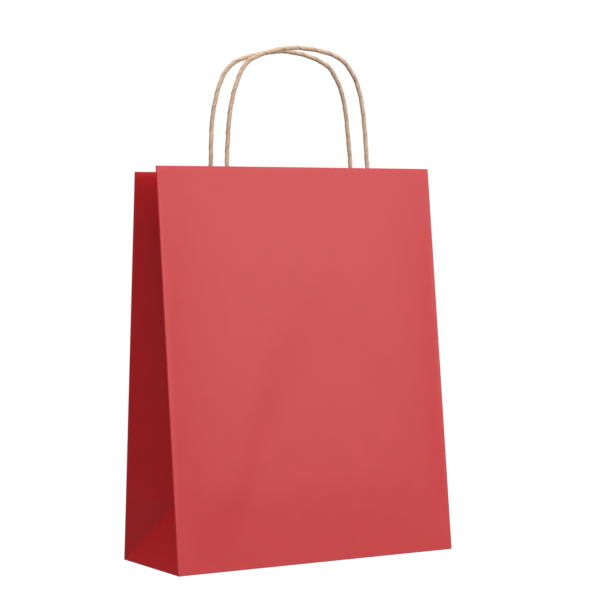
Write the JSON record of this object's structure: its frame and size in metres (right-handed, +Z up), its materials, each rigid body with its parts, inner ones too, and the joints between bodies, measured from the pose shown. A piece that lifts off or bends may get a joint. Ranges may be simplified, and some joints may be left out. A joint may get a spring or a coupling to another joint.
{
  "type": "gift bag",
  "caption": "Paper gift bag with a flat pasted bottom, folded side gussets, a turned-in hem and twisted paper cord handles that swing; the mouth opens and closes.",
  "frame": {"origin": "middle of the bottom, on the surface that the bag stands on", "axes": "+Z up; X along the bag's width; the front panel faces -Y, across the bag's depth"},
  "size_m": [0.25, 0.11, 0.42],
  "materials": {
    "red_paper": "matte",
    "kraft_paper": "matte",
    "twisted_cord": "matte"
  },
  "bodies": {
    "bottom": {"bottom_flap_back": "red_paper", "bottom_flap_front": "red_paper", "bottom_tuck_left": "red_paper", "bottom_tuck_right": "red_paper", "left_gusset_foot": "red_paper", "right_gusset_foot": "red_paper", "left_gusset_front_half": "red_paper", "left_gusset_back_half": "red_paper", "right_gusset_front_half": "red_paper", "right_gusset_back_half": "red_paper", "left_gusset_front_hem": "red_paper", "left_gusset_back_hem": "red_paper", "right_gusset_front_hem": "red_paper", "right_gusset_back_hem": "red_paper"},
    "front_panel": {"front_panel": "red_paper", "front_hem": "red_paper", "front_outer_patch": "kraft_paper", "front_inner_patch": "kraft_paper", "front_handle_left_end": "twisted_cord", "front_handle_right_end": "twisted_cord"},
    "back_panel": {"back_panel": "red_paper", "back_hem": "red_paper", "side_seam_flap": "red_paper", "back_outer_patch": "kraft_paper", "back_inner_patch": "kraft_paper", "back_handle_left_end": "twisted_cord", "back_handle_right_end": "twisted_cord"},
    "front_handle": {"front_handle": "twisted_cord"},
    "back_handle": {"back_handle": "twisted_cord"}
  },
  "joints": [
    {"name": "front_panel_lean", "type": "hinge", "parent": "bottom", "child": "front_panel", "pos_m": [0, -0.055, 0], "axis": [1, 0, 0], "range_deg": [-1.8, 4], "deforming": ["left_gusset_front_half", "right_gusset_front_half", "left_gusset_front_hem", "right_gusset_front_hem"]},
    {"name": "back_panel_lean", "type": "hinge", "parent": "bottom", "child": "back_panel", "pos_m": [0, 0.055, 0], "axis": [-1, 0, 0], "range_deg": [-1.8, 4], "deforming": ["left_gusset_back_half", "right_gusset_back_half", "left_gusset_back_hem", "right_gusset_back_hem"]},
    {"name": "front_handle_swing", "type": "hinge", "parent": "front_panel", "child": "front_handle", "pos_m": [0.0028, -0.02725, 0.32383], "axis": [1, 0, 0], "range_deg": [-2, 110]},
    {"name": "back_handle_swing", "type": "hinge", "parent": "back_panel", "child": "back_handle", "pos_m": [0.0069, 0.00984, 0.32186], "axis": [-1, 0, 0], "range_deg": [-2, 110]}
  ],
  "couplings": [
    {"joint": "back_panel_lean", "follows": "front_panel_lean", "ratio": 1}
  ]
}
